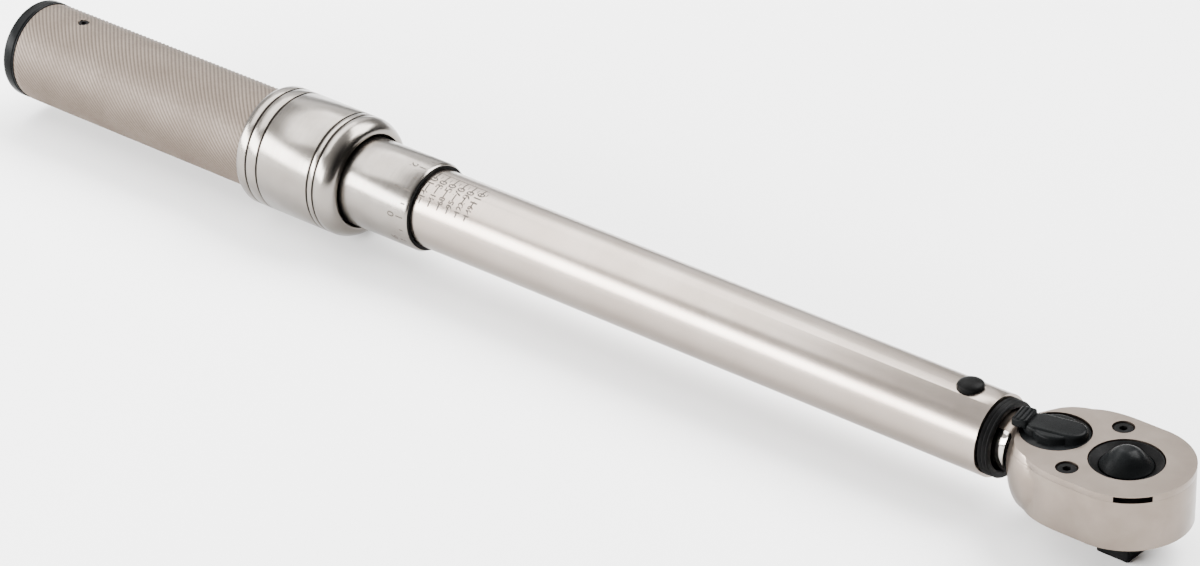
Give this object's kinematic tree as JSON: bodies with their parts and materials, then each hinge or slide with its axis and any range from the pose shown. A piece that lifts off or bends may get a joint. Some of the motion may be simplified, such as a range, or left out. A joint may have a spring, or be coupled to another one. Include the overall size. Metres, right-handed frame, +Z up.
{
  "type": "torque wrench",
  "caption": "Click-type torque wrench with a square drive, reversible ratchet head, quick-release button, thimble scale, pull-back lock ring and knurled grip.",
  "frame": {"origin": "centre of the square drive's end face, the face that goes into a socket first", "axes": "+Z runs up the drive's axis through the head, +X runs along the tube from the handle to the head's nose, +Y is to the left of that"},
  "size_m": [0.3958, 0.0344, 0.0353],
  "materials": {
    "nickel": "satin nickel plate",
    "satin": "satin turned",
    "knurl": "fine diamond knurl",
    "black_oxide": "black oxide, lightly oiled",
    "steel": "ground steel",
    "rubber": "matt black",
    "plastic": "fine matt black",
    "brass": "turned"
  },
  "bodies": {
    "tube_body": {"tube": "nickel", "pivot_pin": "black_oxide", "end_seal": "rubber", "load_nut": "brass", "nut_pin_top": "steel", "nut_pin_bottom": "steel", "main_spring": "black_oxide"},
    "head": {"ratchet_head": "nickel", "cover_plate": "nickel", "cover_screw_1": "black_oxide", "cover_screw_2": "black_oxide", "pawl_pin": "steel"},
    "drive": {"drive_gear": "black_oxide"},
    "button": {"release_button": "black_oxide", "button_spring": "steel"},
    "detent_ball": {"retaining_ball": "steel"},
    "lever": {"reverse_lever": "plastic", "pawl_plunger": "steel", "pawl_spring": "steel"},
    "pawl_body": {"pawl": "steel"},
    "plunger_body": {"plunger": "steel"},
    "block": {"tilt_block": "steel"},
    "carriage": {"spring_seat": "steel", "thrust_ball": "steel"},
    "handle": {"load_screw": "steel", "drive_flange": "brass", "lock_nut": "steel", "grip": "knurl", "thimble": "satin", "end_cap": "plastic", "grip_set_screw": "black_oxide", "lock_ball_1": "steel", "lock_ball_2": "steel", "lock_ball_3": "steel", "retaining_ring": "black_oxide"},
    "ring": {"lock_ring": "satin", "lock_ring_spring": "steel"}
  },
  "joints": [
    {"name": "head_pivot", "type": "hinge", "parent": "tube_body", "child": "head", "pos_m": [-0.047, 0, 0.0183], "axis": [0, 0, 1], "range_deg": [-1.5, 1.5], "stiffness_Nm_per_rad": 60},
    {"name": "drive_spin", "type": "hinge", "parent": "head", "child": "drive", "pos_m": [0, 0, 0.0183], "axis": [0, 0, 1], "continuous": true},
    {"name": "button_press", "type": "slide", "parent": "drive", "child": "button", "axis": [0, 0, -1], "range_m": [0, 0.002], "stiffness_N_per_m": 800, "deforming": ["button_spring"]},
    {"name": "ball_slide", "type": "slide", "parent": "drive", "child": "detent_ball", "axis": [1, 0, 0], "range_m": [0, 0.0008]},
    {"name": "lever_swing", "type": "hinge", "parent": "head", "child": "lever", "pos_m": [-0.0211, 0, 0.026], "axis": [0, 0, 1], "range_deg": [-24, 0]},
    {"name": "pawl_swing", "type": "hinge", "parent": "head", "child": "pawl_body", "pos_m": [-0.016, 0, 0.0183], "axis": [0, 0, 1], "range_deg": [0, 9]},
    {"name": "plunger_slide", "type": "slide", "parent": "tube_body", "child": "plunger_body", "axis": [-1, 0, 0], "range_m": [0, 0.0005], "stiffness_N_per_m": 20000},
    {"name": "block_tilt", "type": "hinge", "parent": "plunger_body", "child": "block", "pos_m": [-0.104, 0, 0.0183], "axis": [0, 0, 1], "range_deg": [-15, 15]},
    {"name": "handle_travel", "type": "slide", "parent": "tube_body", "child": "carriage", "axis": [1, 0, 0], "range_m": [0, 0.018], "deforming": ["main_spring"]},
    {"name": "handle_turn", "type": "hinge", "parent": "carriage", "child": "handle", "pos_m": [-0.2252, 0, 0.0183], "axis": [1, 0, 0], "range_deg": [0, 3240]},
    {"name": "lock_ring_slide", "type": "slide", "parent": "handle", "child": "ring", "axis": [-1, 0, 0], "range_m": [0, 0.006], "stiffness_N_per_m": 900, "deforming": ["lock_ring_spring"]}
  ],
  "couplings": [
    {"joint": "ball_slide", "follows": "button_press", "ratio": 0.4},
    {"joint": "pawl_swing", "follows": "lever_swing", "ratio": -0.375},
    {"joint": "block_tilt", "follows": "head_pivot", "ratio": -10},
    {"joint": "handle_travel", "follows": "handle_turn", "m_per_rad": 0.00031831}
  ]
}
